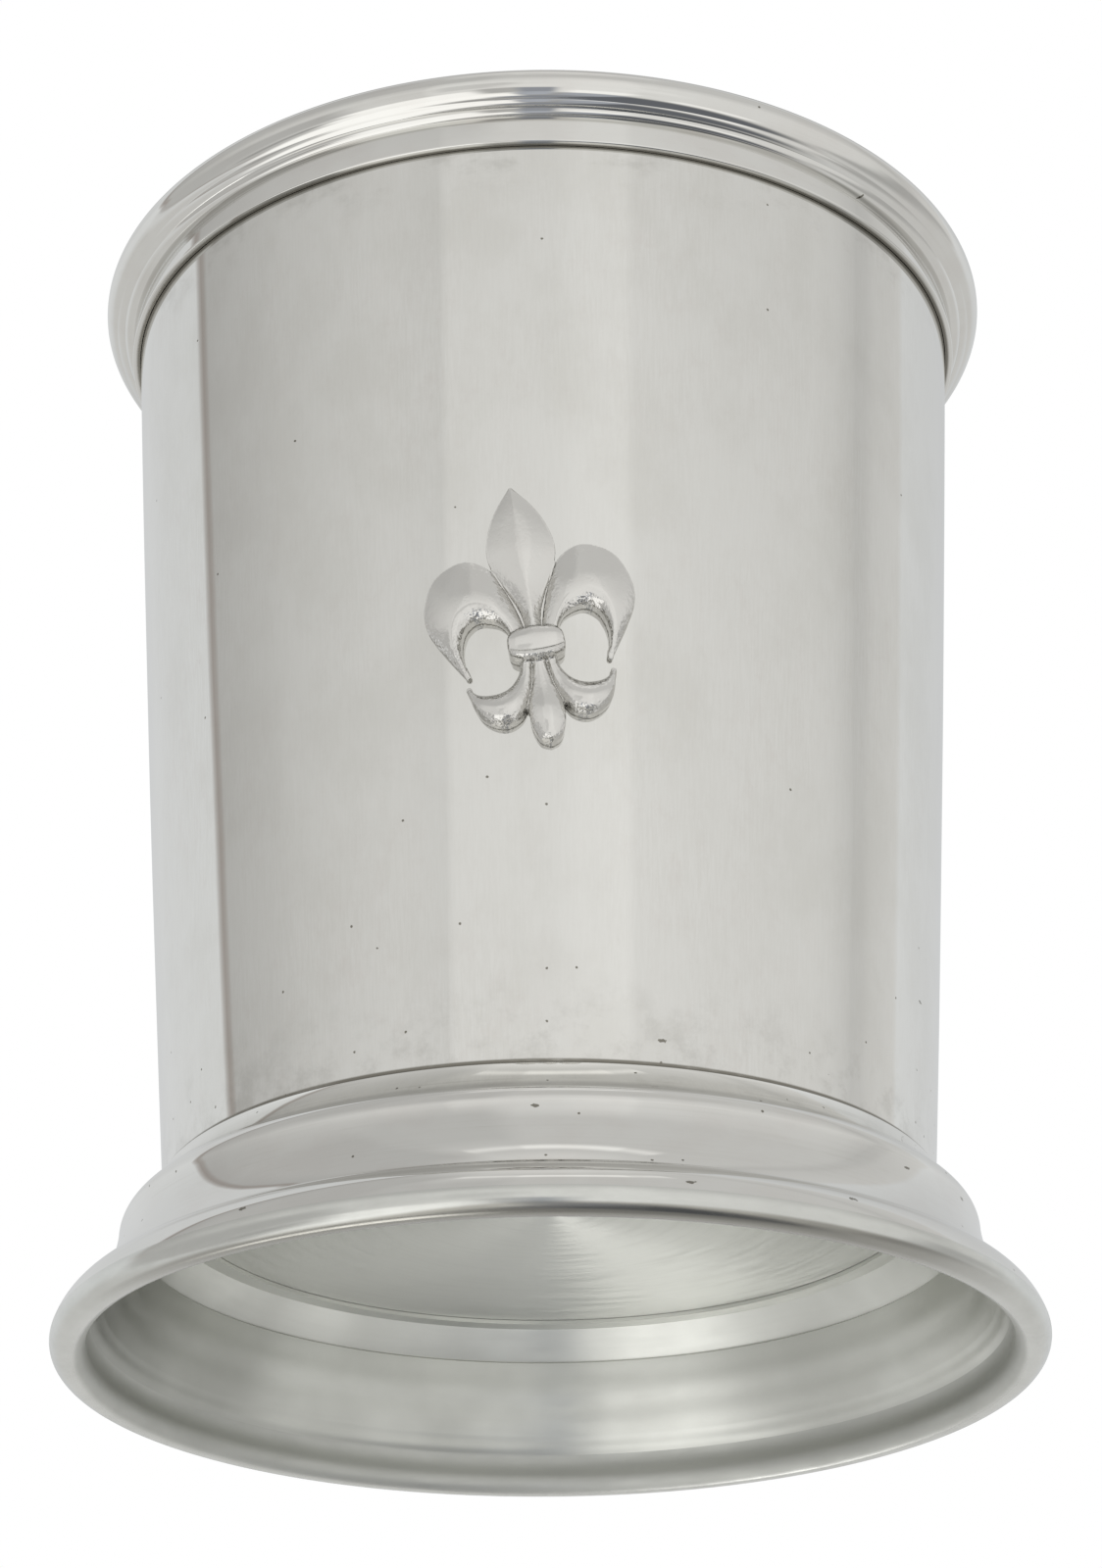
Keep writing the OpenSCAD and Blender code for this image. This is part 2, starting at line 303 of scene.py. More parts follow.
def make_foot():
    # Outside, from the lip down to the rolled edge
    lip_bore_r = body_r(LIP_Z) + SOLDER_GAP
    lip = np.array([lip_bore_r + FOOT_LIP_T, LIP_Z])
    way_out = FOOT_D / 2 - lip[0]
    slope_share, shoulder_share, crease_share = FOOT_STEP_SHARES
    slope_end = lip + [way_out * slope_share, -FOOT_SLOPE_H]
    shoulder_end = np.array([lip[0] + way_out * shoulder_share, slope_end[1] - FOOT_SHOULDER_H])
    crease = np.array([lip[0] + way_out * crease_share, FOOT_EDGE_H])
    roll_r = FOOT_ROLL_D / 2
    roll_c = np.array([FOOT_D / 2 - roll_r, roll_r - FOOT_WORN])
    dome_end = on_circle(roll_c, roll_r, FOOT_DOME_ANGLE)
    roll_inside = on_circle(roll_c, roll_r, FOOT_INNER_ANGLE)
    worn_angle = math.degrees(math.asin(roll_c[1] / roll_r))

    # The dome runs into the roll without a corner
    dome = dome_end - crease
    dome_tilt = math.degrees(math.atan2(dome[1], dome[0])) + 90 - FOOT_DOME_ANGLE
    dome_swell = np.linalg.norm(dome) / 4 * math.tan(math.radians(dome_tilt))

    # Inside, the slope and the flare follow the outer ones, and a fillet softens the roll's inner bend
    flange_z = SEAT_Z - FOOT_FLANGE_T
    steepness = (slope_end[0] - lip[0]) / FOOT_SLOPE_H
    inner_slope_top = [lip[0] + (LIP_Z - flange_z) * steepness - FOOT_WALL, flange_z]
    inner_slope_end = slope_end + [FOOT_INNER_DROP * steepness - FOOT_WALL, -FOOT_INNER_DROP]
    ridge_end = inner_slope_end - [FOOT_RIDGE, FOOT_RIDGE]
    inner_crease = crease - [FOOT_CREASE_WALL, 0]
    inner_way = direction(roll_inside, inner_crease)[0] * FOOT_FILLET_W
    fillet_start = on_circle(roll_c, roll_r, FOOT_FILLET_ANGLE)
    fillet = eased(fillet_start, roll_inside + inner_way / 4, roll_inside + inner_way)
    flange_r = body_r(SEAT_Z) - FOOT_FLANGE_W

    return spun("foot", [
        (bowed(lip, slope_end, -FOOT_COVE), 0),
        (bowed(slope_end, shoulder_end, FOOT_SWELL), 0),
        (bowed(shoulder_end, crease + [0, FOOT_GROOVE], -FOOT_HOLLOW), 0),
        ([crease - [FOOT_GROOVE, 0]], 0),
        (bowed(crease, dome_end, dome_swell), 0),
        (round_arc(roll_c, roll_r, FOOT_DOME_ANGLE, -worn_angle), 2),
        (round_arc(roll_c, roll_r, worn_angle - 180, FOOT_FILLET_ANGLE - 360), 2),
        (fillet, 2),
        (rippled(fillet[-1], inner_crease, FOOT_INNER_HOLLOW / 4, 1), 1),
        (rippled(inner_crease, ridge_end, FOOT_INNER_HOLLOW, 2), 1),
        ([inner_slope_end, inner_slope_top, [flange_r, flange_z], [flange_r, SEAT_Z]], 1),
        ([[body_r(SEAT_Z) + SOLDER_GAP, SEAT_Z], [lip_bore_r, LIP_Z]], 1),
    ])


# The fleur-de-lis: leaves lofted between two edge curves, given as shares of its width and height
BADGE_H = 22.9
BADGE_W = 16.6
BADGE_T = 1.9
BADGE_EDGE_T = 0.35
BADGE_Z = 51.8
BADGE_SIDE = -1.1
BADGE_LEAN = 8
BADGE_TIP_D = 0.5
COLLAR_LIP_SHARE = 0.03

# Fineness of the ornament, and how much its edges are softened
LEAF_STATIONS = 72
LEAF_STEPS = 28
BALL_SIDES = 24
BALL_RINGS = 16
BADGE_VOXEL = 0.08
SMOOTHING_ROUNDS = 3
SMOOTHING_FACTOR = 0.5


def curve(points, t):
    """A smooth curve through the points, for t from 0 to 1."""
    last = len(points) - 1
    i = min(math.floor(t * last), last - 1)
    f = t * last - i
    a, b = np.array(points[max(i - 1, 0)], float), np.array(points[i], float)
    c, d = np.array(points[i + 1], float), np.array(points[min(i + 2, last)], float)
    return b + (f * (c - a) + f * f * (2 * a - 5 * b + 4 * c - d) + f**3 * (3 * b - a - 3 * c + d)) / 2


def on_body(place_share, out):
    """A place on the ornament, at a height out of the body, in millimetres."""
    lean = math.radians(BADGE_LEAN)
    across, up = place_share[0] * BADGE_W, (place_share[1] - 0.5) * BADGE_H
    z = BADGE_Z + across * math.sin(lean) + up * math.cos(lean)
    angle = (BADGE_SIDE + across * math.cos(lean) - up * math.sin(lean)) / body_r(BADGE_Z) - math.pi / 2
    radius = body_r(z) + SOLDER_GAP + out
    return Vector((radius * math.cos(angle), radius * math.sin(angle), z))


def leaf(model, edges, reliefs, crest=0.5, powers=(2, 2), side=1, rises=(0, 0)):
    """A leaf lofted between two edge curves. reliefs: its crest's height along it, as shares of the
    ornament's thickness. crest: where it lies between the edges. powers: how each flank falls from it,
    where 2 is rounded and 1 is straight. rises: how high each edge stands, as a share of the crest."""
    rings = []
    for station in range(LEAF_STATIONS + 1):
        t = station / LEAF_STATIONS
        first, last = curve(edges[0], t), curve(edges[1], t)
        height = curve(reliefs, t) * BADGE_T
        tops, backs = [], []
        for step in range(LEAF_STEPS + 1):
            k = step / LEAF_STEPS * 2 - 1
            flank = 0 if k < 0 else 1
            s = crest * (1 + k) if k < 0 else crest + (1 - crest) * k
            place = (first * (1 - s) + last * s) * [side, 1]
            edge = min(height, max(BADGE_EDGE_T, height * rises[flank]))
            fall = 1 - abs(k) ** powers[flank]
            tops.append(model.verts.new(on_body(place, edge + (height - edge) * fall)))
            backs.append(model.verts.new(on_body(place, 0)))
        rings.append(tops + backs[::-1])
    size = len(rings[0])
    for low, high in zip(rings, rings[1:]):
        for j in range(size):
            model.faces.new([low[j], high[j], high[(j + 1) % size], low[(j + 1) % size]])
    model.faces.new(rings[0])
    model.faces.new(rings[-1][::-1])


def bar(model, places, diameter):
    """A round bar with ball ends between two places, lying on the body."""
    first, last = [on_body(place, diameter / 2) for place in places]
    along = (last - first).normalized()
    turn = along.to_track_quat("Z", "Y").to_matrix().to_4x4()
    ball = bmesh.ops.create_uvsphere(
        model, u_segments=BALL_SIDES, v_segments=BALL_RINGS, radius=diameter / 2
    )
    for vert in ball["verts"]:
        vert.co = turn @ vert.co + (last if vert.co.z > 0 else first)


def mirrored(shares):
    return [(-across, up) for across, up in shares]


def centre_petal(model):
    side = [(0.036, 0.41), (0.036, 0.48), (0.06, 0.544), (0.104, 0.613), (0.15, 0.687),
            (0.163, 0.757), (0.133, 0.848), (0.08, 0.925), (0.008, 0.995)]
    reliefs = [0.6, 0.6, 0.62, 0.66, 0.7, 0.7, 0.6, 0.48, 0.3]
    web = [(0.05, 0.43), (0.08, 0.5), (0.105, 0.56), (0.118, 0.61)]
    leaf(model, [mirrored(web), web], [0.2, 0.2, 0.22, 0.24])
    leaf(model, [mirrored(side), side], reliefs, powers=(1.25, 1.25), rises=(0.45, 0.45))
    bar(model, [(0, 0.988), (0, 0.96)], BADGE_TIP_D)


def side_petal(model, side):
    outer = [(0.036, 0.43), (0.066, 0.512), (0.108, 0.603), (0.169, 0.694), (0.285, 0.739),
             (0.428, 0.696), (0.498, 0.596), (0.5, 0.504), (0.446, 0.415), (0.356, 0.305)]
    inner = [(0.114, 0.41), (0.12, 0.435), (0.139, 0.463), (0.175, 0.487), (0.253, 0.504),
             (0.313, 0.482), (0.343, 0.444), (0.355, 0.402), (0.352, 0.36), (0.34, 0.311)]
    reliefs = [0.5, 0.55, 0.66, 0.82, 0.92, 0.92, 0.86, 0.72, 0.5, 0.24]
    leaf(model, [outer, inner], reliefs, crest=0.76, powers=(1.6, 2.4), side=side, rises=(0.4, 0.5))
    bar(model, [(side * 0.345, 0.307), (side * 0.356, 0.34)], BADGE_TIP_D)


def collar(model):
    """The collar, with a lip that stands higher along its lower edge."""
    top = [(-0.137, 0.4), (-0.126, 0.424), (-0.08, 0.441), (0, 0.448),
           (0.08, 0.441), (0.126, 0.424), (0.137, 0.4)]
    low = [(-0.137, 0.358), (-0.126, 0.334), (-0.08, 0.318), (0, 0.311),
           (0.08, 0.318), (0.126, 0.334), (0.137, 0.358)]
    lip = [(across, up + COLLAR_LIP_SHARE) for across, up in low]
    leaf(model, [top, low], [0.42, 0.72, 0.84, 0.88, 0.84, 0.72, 0.42], powers=(3, 3), rises=(0.5, 0.6))
    leaf(model, [lip, low], [0.5, 0.8, 0.94, 0.99, 0.94, 0.8, 0.5], rises=(0.8, 0.75))


def drop(model):
    side = [(0.03, 0.368), (0.033, 0.301), (0.048, 0.233), (0.072, 0.178),
            (0.084, 0.123), (0.078, 0.069), (0.051, 0.022), (0.009, 0.004)]
    reliefs = [0.6, 0.55, 0.6, 0.7, 0.85, 0.88, 0.75, 0.4]
    leaf(model, [mirrored(side), side], reliefs, powers=(2.2, 2.2), rises=(0.6, 0.6))
    bar(model, [(0, 0.012), (0, 0.05)], BADGE_TIP_D)


def lower_curl(model, side):
    outer = [(0.03, 0.377), (0.036, 0.301), (0.057, 0.208), (0.114, 0.119),
             (0.205, 0.092), (0.295, 0.123), (0.34, 0.183), (0.358, 0.25)]
    inner = [(0.09, 0.377), (0.096, 0.297), (0.127, 0.254), (0.169, 0.225),
             (0.217, 0.214), (0.271, 0.218), (0.313, 0.233), (0.346, 0.26)]
    reliefs = [0.5, 0.52, 0.62, 0.85, 0.92, 0.78, 0.52, 0.28]
    leaf(model, [outer, inner], reliefs, crest=0.42, powers=(2.6, 1.8), side=side, rises=(0.45, 0.45))
    bar(model, [(side * 0.351, 0.258), (side * 0.342, 0.23)], BADGE_TIP_D)


def make_badge():
    """The leaves, fused into one casting whose edges are softened, and then scaled to metres."""
    model = bmesh.new()
    centre_petal(model)
    collar(model)
    drop(model)
    for side in (-1, 1):
        side_petal(model, side)
        lower_curl(model, side)
    bmesh.ops.recalc_face_normals(model, faces=model.faces)
    piece = new_object("fleur_de_lis", model)
    fuse = piece.modifiers.new("fuse", "REMESH")
    fuse.mode = "VOXEL"
    fuse.voxel_size = BADGE_VOXEL
    soften = piece.modifiers.new("soften", "SMOOTH")
    soften.factor = SMOOTHING_FACTOR
    soften.iterations = SMOOTHING_ROUNDS
    shaped = bpy.data.meshes.new_from_object(piece.evaluated_get(bpy.context.evaluated_depsgraph_get()))
    piece.modifiers.clear()
    piece.data = shaped
    shaped.transform(Matrix.Scale(MM, 4))
    shaped.polygons.foreach_set("use_smooth", [True] * len(shaped.polygons))
    return piece


# The places of a colour mix node's sockets: its share, its two colours and its result
MIX_SHARE, MIX_FIRST, MIX_LAST, MIX_RESULT = 0, 6, 7, 2


class Nodes:
    """A node tree, emptied, with short ways to add to it. A value is a number, a colour or a socket."""

    def __init__(self, tree):
        self.tree = tree
        tree.nodes.clear()

    def feed(self, node, name, value):
        """Sets a node's input to a value, or links it to a socket."""
        if isinstance(value, bpy.types.NodeSocket):
            self.tree.links.new(value, node.inputs[name])
        else:
            node.inputs[name].default_value = value

    def add(self, kind, inputs=None, **settings):
        """A new node with these settings and inputs."""
        node = self.tree.nodes.new(kind)
        for name, value in settings.items():
            setattr(node, name, value)
        for name, value in (inputs or {}).items():
            self.feed(node, name, value)
        return node

    def calc(self, operation, *values):
        return self.add("ShaderNodeMath", dict(enumerate(values)), operation=operation).outputs[0]

    def times(self, first, second):
        return self.calc("MULTIPLY", first, second)

    def plus(self, first, *others):
        for other in others:
            first = self.calc("ADD", first, other)
        return first

    def between(self, value, low, high, first=0.0, last=1.0):
        """first where the value is low, last where it is high, and smooth between them."""
        inputs = {0: value, 1: low, 2: high, 3: first, 4: last}
        return self.add("ShaderNodeMapRange", inputs, interpolation_type="SMOOTHSTEP").outputs[0]

    def near(self, distance, reach, softness):
        """1 where the distance, of either sign, is less than the reach, with a soft edge."""
        away = self.calc("ABSOLUTE", distance)
        return self.between(away, reach + softness, reach - softness)

    def blend(self, share, first, last):
        """The first colour where the share is 0, and the last where it is 1."""
        first, last = [(*value, 1) if isinstance(value, tuple) else value for value in (first, last)]
        inputs = {MIX_SHARE: share, MIX_FIRST: first, MIX_LAST: last}
        return self.add("ShaderNodeMix", inputs, data_type="RGBA").outputs[MIX_RESULT]

    def over(self, colour, mask, most, tint):
        """The colour under a tint, which shows at most by this share, where the mask is 1."""
        return self.blend(self.times(mask, most), colour, tint)


# Kinds of noise: grain sizes in millimetres along X, Y and Z, detail, roughness and shift
BODY_BLOTCHES = ((9, 9, 14), 6.0, 0.62, 0.0)
BODY_MOTTLING = ((1.6, 1.6, 2.4), 6.0, 0.75, 0.6)
BODY_HAIRLINES = ((0.2, 0.2, 7), 4.0, 0.7, 0.0)
BODY_WORN_AREAS = ((14, 14, 20), 4.0, 0.6, 0.7)
RIM_TARNISH = ((5, 5, 3), 5.0, 0.65, 0.9)
JOINT_GRIME = ((2.5, 2.5, 0.6), 4.0, 0.6, 0.3)
FOOT_STAINS = ((3, 3, 3), 6.0, 0.7, 0.8)
PIT_OUTLINES = ((0.25, 0.25, 0.25), 2.0, 0.6, 0.2)
TURNED_SMEARS = ((6, 6, 3), 5.0, 0.6, 0.0)
TURNED_STREAK_AREAS = ((7, 7, 2), 4.0, 0.6, 0.4)
ROLL_CLOUDS = ((4, 4, 1.2), 5.0, 0.65, 0.5)
SATIN_CLOUDS = ((9, 9, 9), 4.0, 0.5, 0.5)
SATIN_SPECKS = ((0.18, 0.18, 0.18), 3.0, 0.7, 0.1)
INNER_CLOUDS = ((8, 8, 8), 5.0, 0.6, 0.2)
CAST_SKIN = ((0.7, 0.7, 0.7), 3.0, 0.6, 0.0)
CAST_CLOUDS = ((2.5, 2.5, 2.5), 4.0, 0.6, 0.4)
CAST_DENTS = ((0.35, 0.35, 0.35), 2.0, 0.5, 0.9)
CAST_FLANKS = ((0.5, 0.5, 0.5), 2.0, 0.6, 0.3)
RING_WANDER = ((30, 30, 30), 1.0, 0.5, 0.0)

# Rings left by turning: their width in millimetres, and their detail
TURNED_RINGS = (0.15, 3.0)
TURNED_STREAKS = (0.4, 5.0)
ROLL_RINGS = (0.12, 5.0)
SATIN_RINGS = (0.12, 6.0)
INNER_RINGS = (0.3, 4.0)
# Sweeps of the mop over the satin: their width and length in millimetres
SATIN_SWEEPS = (0.5, 7.0)


class Metal(Nodes):
    """The nodes that every metal here starts from: places in millimetres, and noise."""

    def __init__(self, name):
        self.material = bpy.data.materials.new(name)
        self.material.use_nodes = True
        super().__init__(self.material.node_tree)
        self.place = self.add("ShaderNodeTexCoord").outputs["Object"]
        apart = self.add("ShaderNodeSeparateXYZ", {0: self.place})
        self.x, self.y, self.z = [self.calc("DIVIDE", metres, MM) for metres in apart.outputs]
        squares = [self.calc("POWER", distance, 2.0) for distance in (self.x, self.y)]
        self.radius = self.calc("SQRT", self.plus(*squares))

    def grain(self, sizes, detail, rough, shift):
        """Noise from 0 to 1 whose grains have the given sizes along X, Y and Z."""
        scale = [1 / (size * MM) for size in sizes]
        moving = {"Vector": self.place, "Location": [shift] * 3, "Scale": scale}
        moved = self.add("ShaderNodeMapping", moving)
        settings = {"Vector": moved.outputs[0], "Scale": 1.0, "Detail": detail, "Roughness": rough}
        return self.add("ShaderNodeTexNoise", settings).outputs[0]

    def rings(self, width, detail):
        """Noise from 0 to 1 that runs round the axis like the marks of a lathe."""
        wander = self.times(self.grain(*RING_WANDER), width)
        place = self.add("ShaderNodeCombineXYZ", {0: self.plus(self.radius, wander), 1: self.z}).outputs[0]
        settings = {"Vector": place, "Scale": 1 / width, "Detail": detail}
        return self.add("ShaderNodeTexNoise", settings).outputs[0]

    def sweeps(self, width, length):
        """Noise from 0 to 1 in curved streaks, narrow across the rings and long round the axis."""
        across = self.calc("DIVIDE", self.radius, width)
        along = [self.calc("DIVIDE", distance, length) for distance in (self.x, self.y)]
        place = self.add("ShaderNodeCombineXYZ", {0: across, 1: along[0], 2: along[1]}).outputs[0]
        return self.add("ShaderNodeTexNoise", {"Vector": place, "Scale": 1.0, "Detail": 4.0}).outputs[0]

    def finish(self, colour, roughness, height, depth, anisotropy=0.0, turn=0.25):
        """The metal's shader. depth: millimetres of relief for a height of 1. turn: by how much of a full
        turn the sheen of brushed metal is turned."""
        bump = self.add("ShaderNodeBump", {"Height": height, "Distance": depth * MM, "Strength": 1.0})
        shader = self.add("ShaderNodeBsdfPrincipled", {
            "Base Color": colour, "Roughness": roughness, "Normal": bump.outputs[0],
            "Metallic": 1.0, "Anisotropic": anisotropy,
        })
        if anisotropy:
            tangent = self.add("ShaderNodeTangent", direction_type="RADIAL", axis="Z")
            self.feed(shader, "Tangent", tangent.outputs[0])
            self.feed(shader, "Anisotropic Rotation", turn)
        output = self.add("ShaderNodeOutputMaterial", {0: shader.outputs[0]})
        output.is_active_output = True
        return self.material


# The metal's colours: polished, satin, rubbed and washed, each with a darker tone, and its stains.
# Some of them are painted light: a painted highlight for the foot's slope, and painted shade.
PEWTER = (0.635, 0.632, 0.61)
# A painted highlight for the foot's straight slope
SLOPE_HIGHLIGHT_PEWTER = (0.83, 0.825, 0.795)
DULL_PEWTER = (0.55, 0.543, 0.512)
WARM_PEWTER = (0.57, 0.545, 0.52)
# Tarnish, and also the colour of painted shade
TARNISH_AND_SHADE = (0.2, 0.19, 0.165)
SATIN_PEWTER = (0.78, 0.79, 0.75)
SATIN_SHADE = (0.6, 0.605, 0.57)
# Painted shade for the left of the flare
SATIN_PAINTED_SHADE = (0.25, 0.255, 0.235)
EDGE_SATIN = (0.44, 0.445, 0.42)
WASHED_PEWTER = (0.9, 0.895, 0.87)
WASHED_SHADE = (0.83, 0.825, 0.8)
RUBBED_PEWTER = (0.63, 0.635, 0.61)
RUBBED_SHADE = (0.5, 0.505, 0.48)

# Roughness of each finish, from its clearest places to its cloudiest
POLISH = (0.015, 0.035)
CAST_POLISH = (0.02, 0.05)
RUBBED = (0.17, 0.25)
SATIN = (0.33, 0.4)
WASHED = (0.36, 0.46)
# What is added to it by streaks and rings, by grime on the body, along the dark lines where the mouldings
# meet the body, and on the roll's inner side
MARKS_ROUGHNESS = 0.015
GRIME_ROUGHNESS = 0.3
MOULDING_JOINT_ROUGHNESS = 0.4
ROLL_INSIDE_ROUGHNESS = 0.28

# Relief in millimetres for a height of 1, and a pit's depth in the same heights
BODY_RELIEF = 0.00015
TURNED_RELIEF = 0.0002
SATIN_RELIEF = 0.002
ROLL_RELIEF = 0.0015
INNER_RELIEF = 0.0015
CAST_RELIEF = 0.015
BODY_PIT_DEPTH = 20.0
TURNED_PIT_DEPTH = 10.0

# How far grime reaches from the joint on the body and on the foot's lip, and how far painted shade reaches
# under the rim's ledge
JOINT_GRIME_H = 0.45
LIP_GRIME_H = 0.2
LEDGE_SHADE_W = 0.45
# How far tarnish reaches down from the rim, and stains and pits up from the foot
RIM_TARNISH_H = 6.0
FOOT_STAIN_H = 9
PIT_SPREAD_H = 22

# Kinds of pits: spacing, half width as a share of it, length over width, and the chances to miss one
# up on the wall and down by the foot. How ragged their outlines are is a share of the spacing too.
PIT_KINDS = [(2.2, 0.045, 1.0, 0.985, 0.9), (4.0, 0.032, 2.4, 0.995, 0.85)]
PIT_RAGGED = 0.08


def pitting(metal):
    """Small dark pits and short scars, sparse on the wall and closer together by the foot."""
    found = 0.0
    ragged = metal.times(metal.grain(*PIT_OUTLINES), PIT_RAGGED)
    angle = metal.calc("ARCTAN2", metal.x, metal.times(metal.y, -1.0))
    for spacing, width, length, rare, frequent in PIT_KINDS:
        around = metal.times(angle, BODY_LOWER_D / 2 / length)
        place = metal.add("ShaderNodeCombineXYZ", {0: around, 1: metal.z}).outputs[0]
        settings = {"Vector": place, "Scale": 1 / spacing}
        cells = metal.add("ShaderNodeTexVoronoi", settings, voronoi_dimensions="2D")
        chance = metal.add("ShaderNodeSeparateColor", {0: cells.outputs["Color"]}).outputs[0]
        missed = metal.between(metal.z, LIP_Z + PIT_SPREAD_H, LIP_Z, rare, frequent)
        size = metal.times(metal.calc("GREATER_THAN", chance, missed), width + PIT_RAGGED / 2)
        away = metal.plus(cells.outputs["Distance"], ragged)
        found = metal.calc("MAXIMUM", found, metal.calc("LESS_THAN", away, size))
    return found


def body_metal():
    """Mirror polish with upright hairlines, dull blotches and pits, tarnish by the rim, stains by the
    foot, and grime in the joint there."""
    metal = Metal("polished_pewter")
    blotches = metal.between(metal.grain(*BODY_BLOTCHES), 0.42, 0.68)
    mottling = metal.between(metal.grain(*BODY_MOTTLING), 0.45, 0.75)
    hairlines = metal.grain(*BODY_HAIRLINES)
    worn = metal.between(metal.grain(*BODY_WORN_AREAS), 0.35, 0.7, 0.3, 1.0)
    streaks = metal.times(metal.between(hairlines, 0.35, 0.65), worn)
    pits = pitting(metal)

    by_rim = metal.between(metal.z, LEDGE_Z - RIM_TARNISH_H, LEDGE_Z)
    tarnish = metal.times(by_rim, metal.between(metal.grain(*RIM_TARNISH), 0.5, 0.75))
    by_foot = metal.between(metal.z, LIP_Z + FOOT_STAIN_H, LIP_Z, 0.0, 0.22)
    stains = metal.times(by_foot, metal.between(metal.grain(*FOOT_STAINS), 0.45, 0.7))
    by_joint = metal.between(metal.z, LIP_Z + JOINT_GRIME_H, LIP_Z + JOINT_GRIME_H * 0.6)
    joint_darkening = metal.times(by_joint, metal.between(metal.grain(*JOINT_GRIME), 0.2, 0.5, 0.7, 1.0))

    colour = metal.over(PEWTER, blotches, 0.42, DULL_PEWTER)
    colour = metal.over(colour, streaks, 0.35, DULL_PEWTER)
    colour = metal.over(colour, metal.times(mottling, worn), 0.45, WARM_PEWTER)
    colour = metal.blend(stains, colour, TARNISH_AND_SHADE)
    colour = metal.over(colour, tarnish, 0.25, TARNISH_AND_SHADE)
    colour = metal.blend(metal.calc("MAXIMUM", pits, joint_darkening), colour, TARNISH_AND_SHADE)
    roughness = metal.plus(
        metal.between(blotches, 0.0, 1.0, *POLISH),
        metal.times(streaks, MARKS_ROUGHNESS),
        metal.times(joint_darkening, GRIME_ROUGHNESS),
    )
    height = metal.plus(hairlines, metal.times(pits, -BODY_PIT_DEPTH))
    return metal.finish(colour, roughness, height, BODY_RELIEF)


def turned_metal():
    """Lathe-polished mouldings, with marks that run round, pits, grime where the foot's lip meets the body,
    and painted shade under the rim's ledge by the body. The straight slope of the foot, just below its lip,
    has a painted highlight."""
    metal = Metal("turned_pewter")
    marks = metal.rings(*TURNED_RINGS)
    smears = metal.between(metal.grain(*TURNED_SMEARS), 0.4, 0.7)
    streaks = metal.between(metal.rings(*TURNED_STREAKS), 0.45, 0.7)
    streaks = metal.times(streaks, metal.between(metal.grain(*TURNED_STREAK_AREAS), 0.4, 0.65))
    pits = pitting(metal)

    joint_r = body_r(LEDGE_Z) + SOLDER_GAP
    by_body = metal.between(metal.radius, joint_r + LEDGE_SHADE_W, joint_r + LEDGE_SHADE_W / 3)
    # Painted shade under the rim's ledge, darkest by the body
    ledge_shade = metal.times(metal.calc("COMPARE", metal.z, LEDGE_Z, RIM_EDGE_R / 3), by_body)
    on_foot = metal.calc("LESS_THAN", metal.z, LIP_Z + SOLDER_GAP)
    by_lip = metal.between(metal.z, LIP_Z - LIP_GRIME_H, LIP_Z - LIP_GRIME_H / 2)
    # This holds the grime by the foot's lip and the painted shade under the ledge.
    joint_darkening = metal.calc("MAXIMUM", ledge_shade, metal.times(by_lip, on_foot))
    # Painted highlight: the foot's straight slope, just below its lip, is made lighter to stand for a
    # bright reflection.
    slope_highlight = metal.between(metal.z, LIP_Z - FOOT_SLOPE_H, LIP_Z - FOOT_SLOPE_H * 0.8)

    colour = metal.over(PEWTER, smears, 0.3, WARM_PEWTER)
    colour = metal.blend(metal.times(slope_highlight, on_foot), colour, SLOPE_HIGHLIGHT_PEWTER)
    colour = metal.over(colour, streaks, 0.45, DULL_PEWTER)
    colour = metal.blend(metal.calc("MAXIMUM", pits, joint_darkening), colour, TARNISH_AND_SHADE)
    roughness = metal.plus(
        metal.between(smears, 0.0, 1.0, *POLISH),
        metal.times(marks, MARKS_ROUGHNESS),
        metal.times(joint_darkening, MOULDING_JOINT_ROUGHNESS),
    )
    height = metal.plus(marks, metal.times(pits, -TURNED_PIT_DEPTH))
    return metal.finish(colour, roughness, height, TURNED_RELIEF)


# The roll's front has painted shade up to this height on the right of the cup, and to this share of it on
# the left
ROLL_SHADE_Z = 0.65
ROLL_SHADE_LEFT_SHARE = 0.4
ROLL_SHADE_SOFTNESS = 0.12


def rolled_metal():
    """The foot's rolled edge, rubbed to a satin by the table, with painted shade on its underside in front.
    """
    metal = Metal("rubbed_pewter")
    marks = metal.rings(*ROLL_RINGS)
    clouds = metal.grain(*ROLL_CLOUDS)
    left_z = ROLL_SHADE_Z * ROLL_SHADE_LEFT_SHARE
    # Painted shade on the underside of the roll's front: it reaches this high, less on the left
    shade_top_z = metal.between(metal.x, -FOOT_D * 0.2, 0.0, left_z, ROLL_SHADE_Z)
    over_it = metal.calc("SUBTRACT", metal.z, shade_top_z)
    underside = metal.between(over_it, ROLL_SHADE_SOFTNESS, -ROLL_SHADE_SOFTNESS)
    front = metal.between(metal.y, -FOOT_D * 0.2, -FOOT_D * 0.42, 0.0, 0.72)
    inside = metal.between(metal.radius, FOOT_D / 2 - FOOT_ROLL_D * 0.62, FOOT_D / 2 - FOOT_ROLL_D * 0.8)
    colour = metal.blend(clouds, RUBBED_PEWTER, RUBBED_SHADE)
    # Painted shade on the roll's underside in front
    colour = metal.over(colour, underside, front, TARNISH_AND_SHADE)
    colour = metal.over(colour, inside, 0.8, EDGE_SATIN)
    roughness = metal.between(clouds, 0.3, 0.7, *RUBBED)
    roughness = metal.plus(roughness, metal.times(inside, ROLL_INSIDE_ROUGHNESS))
    return metal.finish(colour, roughness, marks, ROLL_RELIEF, anisotropy=0.4)


# The left of the flare has painted shade. That starts this far below the disc, and is full that far below
# it.
# A border of this width along the roll is duller all round.
FLARE_SHADE_FROM_H = 0.5
FLARE_SHADE_FULL_H = 3.5
ROLL_BORDER_W = 0.9
# How the sweeps turn the satin's sheen, as shares of a full turn
SHEEN_TURNS = (0.232, 0.268)


